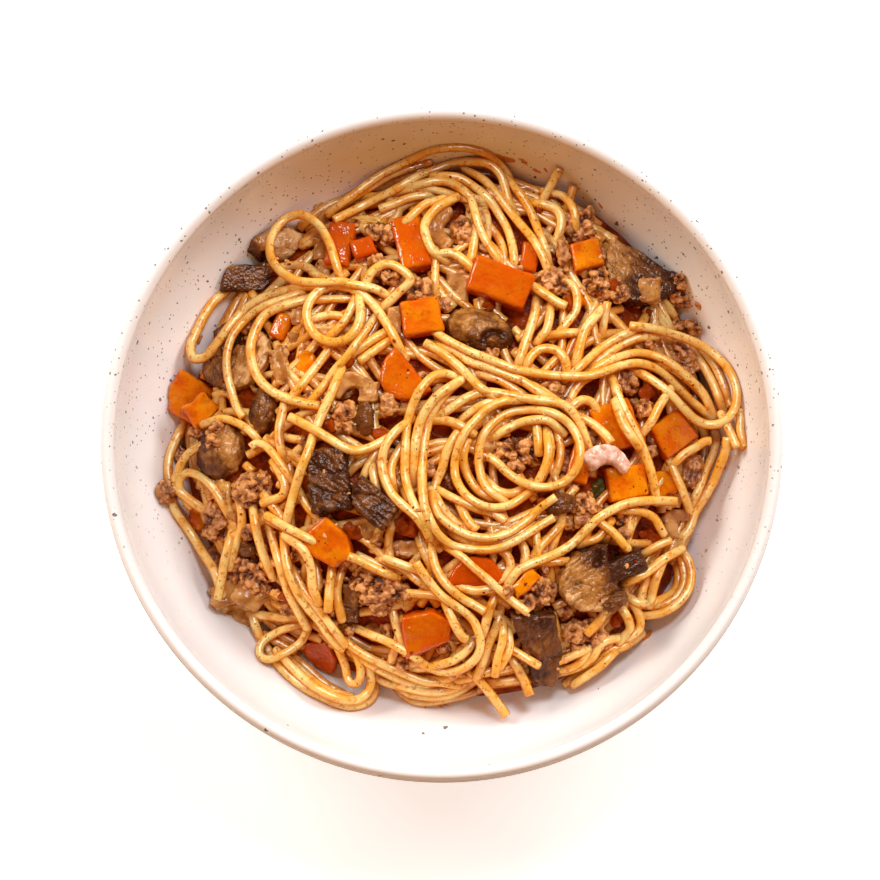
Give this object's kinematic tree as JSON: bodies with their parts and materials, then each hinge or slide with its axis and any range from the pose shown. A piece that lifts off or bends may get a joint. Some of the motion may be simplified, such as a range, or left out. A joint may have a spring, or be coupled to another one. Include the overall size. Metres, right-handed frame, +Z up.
{
  "type": "plate of pasta bolognese",
  "caption": "Round glazed bowl filled with a heap of spaghetti in meat sauce, with carrot and mushroom pieces, resting on its foot ring.",
  "frame": {"origin": "middle of the flat foot ring that the bowl stands on", "axes": "+Z up out of the bowl, +X to the right and +Y away from the viewer of the picture"},
  "size_m": [0.2, 0.2, 0.052],
  "materials": {
    "bowl_glaze": "cream white glaze with small dark speckles",
    "spaghetti": "wet cooked wheat pasta coated in a thin orange sauce",
    "carrot": "cooked carrot, wet and slightly see-through at its edges",
    "mushroom": "fried mushroom with a dark wet skin and a cream inside",
    "minced_beef": "crumbly browned minced beef with small wet glints",
    "onion": "soft fried onion, translucent tan",
    "garlic": "cooked garlic, off white with a pink edge"
  },
  "bodies": {
    "root": {"bowl": "bowl_glaze", "spaghetti": "spaghetti", "carrot_01": "carrot", "carrot_02": "carrot", "carrot_03": "carrot", "carrot_04": "carrot", "carrot_05": "carrot", "carrot_06": "carrot", "carrot_07": "carrot", "carrot_08": "carrot", "carrot_09": "carrot", "carrot_10": "carrot", "carrot_11": "carrot", "carrot_12": "carrot", "carrot_13": "carrot", "carrot_14": "carrot", "carrot_15": "carrot", "carrot_16": "carrot", "carrot_17": "carrot", "carrot_18": "carrot", "mushroom_01": "mushroom", "mushroom_02": "mushroom", "mushroom_03": "mushroom", "mushroom_04": "mushroom", "mushroom_05": "mushroom", "mushroom_06": "mushroom", "mushroom_07": "mushroom", "mushroom_08": "mushroom", "mushroom_09": "mushroom", "mushroom_10": "mushroom", "mushroom_11": "mushroom", "mushroom_12": "mushroom", "mince_01": "minced_beef", "mince_02": "minced_beef", "mince_03": "minced_beef", "mince_04": "minced_beef", "mince_05": "minced_beef", "mince_06": "minced_beef", "mince_07": "minced_beef", "mince_08": "minced_beef", "mince_09": "minced_beef", "mince_10": "minced_beef", "mince_11": "minced_beef", "mince_12": "minced_beef", "mince_13": "minced_beef", "mince_14": "minced_beef", "mince_15": "minced_beef", "mince_16": "minced_beef", "mince_17": "minced_beef", "mince_18": "minced_beef", "onion_1": "onion", "onion_2": "onion", "onion_3": "onion", "onion_4": "onion", "garlic": "garlic"}
  },
  "joints": []
}
